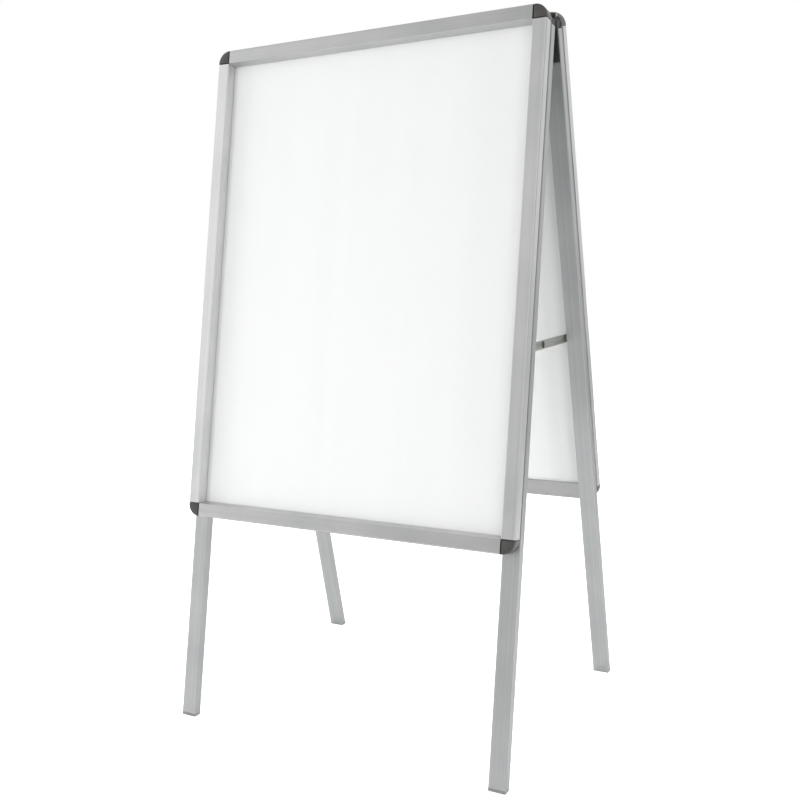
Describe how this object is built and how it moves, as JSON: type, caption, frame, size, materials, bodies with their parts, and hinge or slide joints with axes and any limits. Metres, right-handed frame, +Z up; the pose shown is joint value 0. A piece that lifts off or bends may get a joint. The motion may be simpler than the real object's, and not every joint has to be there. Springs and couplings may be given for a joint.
{
  "type": "sandwich board",
  "caption": "Folding A-frame sandwich board: two snap-frame poster panels on rectangular tube legs, hinged at the top, with folding stays that hold it open.",
  "frame": {"origin": "on the floor, at the centre of the footprint of the open board", "axes": "+Z up, the front panel faces -Y, +X to the right of someone who faces the front panel"},
  "size_m": [0.65, 0.5186, 1.2113],
  "materials": {
    "frame_rail": "satin anodised extrusion",
    "snap_cover": "satin anodised extrusion",
    "leaf_spring": "spring steel",
    "corner_piece": "semi-gloss dark grey moulding",
    "back_sheet": "matt white sheet",
    "clear_sheet": "clear anti-glare plastic sheet",
    "leg_tube": "satin anodised tube",
    "foot": "moulded dark grey",
    "top_hinge": "moulded black",
    "hinge_pin": "zinc plated",
    "stay_link": "zinc plated strip",
    "rivet": "zinc plated"
  },
  "bodies": {
    "front_panel": {"front_rail_top": "frame_rail", "front_rail_bottom": "frame_rail", "front_rail_left": "frame_rail", "front_rail_right": "frame_rail", "front_spring_top": "leaf_spring", "front_spring_bottom": "leaf_spring", "front_spring_left": "leaf_spring", "front_spring_right": "leaf_spring", "front_corner_top_left": "corner_piece", "front_corner_top_right": "corner_piece", "front_corner_bottom_left": "corner_piece", "front_corner_bottom_right": "corner_piece", "front_back_sheet": "back_sheet", "front_clear_sheet": "clear_sheet", "front_leg_left": "leg_tube", "front_foot_left": "foot", "front_hinge_leaf_left": "top_hinge", "front_stay_rivet_left": "rivet", "front_leg_right": "leg_tube", "front_foot_right": "foot", "front_hinge_leaf_right": "top_hinge", "front_stay_rivet_right": "rivet", "hinge_pin_left": "hinge_pin", "hinge_pin_right": "hinge_pin"},
    "rear_panel": {"rear_rail_top": "frame_rail", "rear_rail_bottom": "frame_rail", "rear_rail_left": "frame_rail", "rear_rail_right": "frame_rail", "rear_spring_top": "leaf_spring", "rear_spring_bottom": "leaf_spring", "rear_spring_left": "leaf_spring", "rear_spring_right": "leaf_spring", "rear_corner_top_left": "corner_piece", "rear_corner_top_right": "corner_piece", "rear_corner_bottom_left": "corner_piece", "rear_corner_bottom_right": "corner_piece", "rear_back_sheet": "back_sheet", "rear_clear_sheet": "clear_sheet", "rear_leg_left": "leg_tube", "rear_foot_left": "foot", "rear_hinge_leaf_left": "top_hinge", "rear_stay_rivet_left": "rivet", "rear_leg_right": "leg_tube", "rear_foot_right": "foot", "rear_hinge_leaf_right": "top_hinge", "rear_stay_rivet_right": "rivet"},
    "front_cover_top": {"front_cover_top": "snap_cover"},
    "front_cover_bottom": {"front_cover_bottom": "snap_cover"},
    "front_cover_left": {"front_cover_left": "snap_cover"},
    "front_cover_right": {"front_cover_right": "snap_cover"},
    "rear_cover_top": {"rear_cover_top": "snap_cover"},
    "rear_cover_bottom": {"rear_cover_bottom": "snap_cover"},
    "rear_cover_left": {"rear_cover_left": "snap_cover"},
    "rear_cover_right": {"rear_cover_right": "snap_cover"},
    "front_stay_left": {"front_stay_link_left": "stay_link"},
    "rear_stay_left": {"rear_stay_link_left": "stay_link", "stay_elbow_rivet_left": "rivet"},
    "front_stay_right": {"front_stay_link_right": "stay_link"},
    "rear_stay_right": {"rear_stay_link_right": "stay_link", "stay_elbow_rivet_right": "rivet"}
  },
  "joints": [
    {"name": "fold", "type": "hinge", "parent": "front_panel", "child": "rear_panel", "pos_m": [0, 0, 1.19791], "axis": [-1, 0, 0], "range_deg": [0, 22.7]},
    {"name": "front_cover_top_hinge", "type": "hinge", "parent": "front_panel", "child": "front_cover_top", "pos_m": [0, -0.02154, 1.20621], "axis": [-1, 0, 0], "range_deg": [0, 90], "stiffness_Nm_per_rad": 0.06, "springref_deg": -20.05},
    {"name": "front_cover_bottom_hinge", "type": "hinge", "parent": "front_panel", "child": "front_cover_bottom", "pos_m": [0, -0.19035, 0.36518], "axis": [1, 0, 0], "range_deg": [0, 90], "stiffness_Nm_per_rad": 0.06, "springref_deg": -20.05},
    {"name": "front_cover_left_hinge", "type": "hinge", "parent": "front_panel", "child": "front_cover_left", "pos_m": [-0.3229, -0.10595, 0.7857], "axis": [0, -0.1968, -0.9804], "range_deg": [0, 90], "stiffness_Nm_per_rad": 0.06, "springref_deg": -20.05},
    {"name": "front_cover_right_hinge", "type": "hinge", "parent": "front_panel", "child": "front_cover_right", "pos_m": [0.3229, -0.10595, 0.7857], "axis": [0, 0.1968, 0.9804], "range_deg": [0, 90], "stiffness_Nm_per_rad": 0.06, "springref_deg": -20.05},
    {"name": "rear_cover_top_hinge", "type": "hinge", "parent": "rear_panel", "child": "rear_cover_top", "pos_m": [0, 0.02154, 1.20621], "axis": [1, 0, 0], "range_deg": [0, 90], "stiffness_Nm_per_rad": 0.06, "springref_deg": -20.05},
    {"name": "rear_cover_bottom_hinge", "type": "hinge", "parent": "rear_panel", "child": "rear_cover_bottom", "pos_m": [0, 0.19035, 0.36518], "axis": [-1, 0, 0], "range_deg": [0, 90], "stiffness_Nm_per_rad": 0.06, "springref_deg": -20.05},
    {"name": "rear_cover_left_hinge", "type": "hinge", "parent": "rear_panel", "child": "rear_cover_left", "pos_m": [-0.3229, 0.10595, 0.7857], "axis": [0, -0.1968, 0.9804], "range_deg": [0, 90], "stiffness_Nm_per_rad": 0.06, "springref_deg": -20.05},
    {"name": "rear_cover_right_hinge", "type": "hinge", "parent": "rear_panel", "child": "rear_cover_right", "pos_m": [0.3229, 0.10595, 0.7857], "axis": [0, 0.1968, -0.9804], "range_deg": [0, 90], "stiffness_Nm_per_rad": 0.06, "springref_deg": -20.05},
    {"name": "front_stay_left_turn", "type": "hinge", "parent": "front_panel", "child": "front_stay_left", "pos_m": [-0.295, -0.11681, 0.6716], "axis": [1, 0, 0], "range_deg": [0, 73.28]},
    {"name": "rear_stay_left_turn", "type": "hinge", "parent": "rear_panel", "child": "rear_stay_left", "pos_m": [-0.295, 0.11681, 0.6716], "axis": [-1, 0, 0], "range_deg": [0, 73.28]},
    {"name": "front_stay_right_turn", "type": "hinge", "parent": "front_panel", "child": "front_stay_right", "pos_m": [0.295, -0.11681, 0.6716], "axis": [1, 0, 0], "range_deg": [0, 73.28]},
    {"name": "rear_stay_right_turn", "type": "hinge", "parent": "rear_panel", "child": "rear_stay_right", "pos_m": [0.295, 0.11681, 0.6716], "axis": [-1, 0, 0], "range_deg": [0, 73.28]}
  ],
  "couplings": [
    {"joint": "front_stay_left_turn", "follows": "fold", "ratio": 3.2278},
    {"joint": "rear_stay_left_turn", "follows": "fold", "ratio": 3.2278},
    {"joint": "front_stay_right_turn", "follows": "fold", "ratio": 3.2278},
    {"joint": "rear_stay_right_turn", "follows": "fold", "ratio": 3.2278}
  ]
}
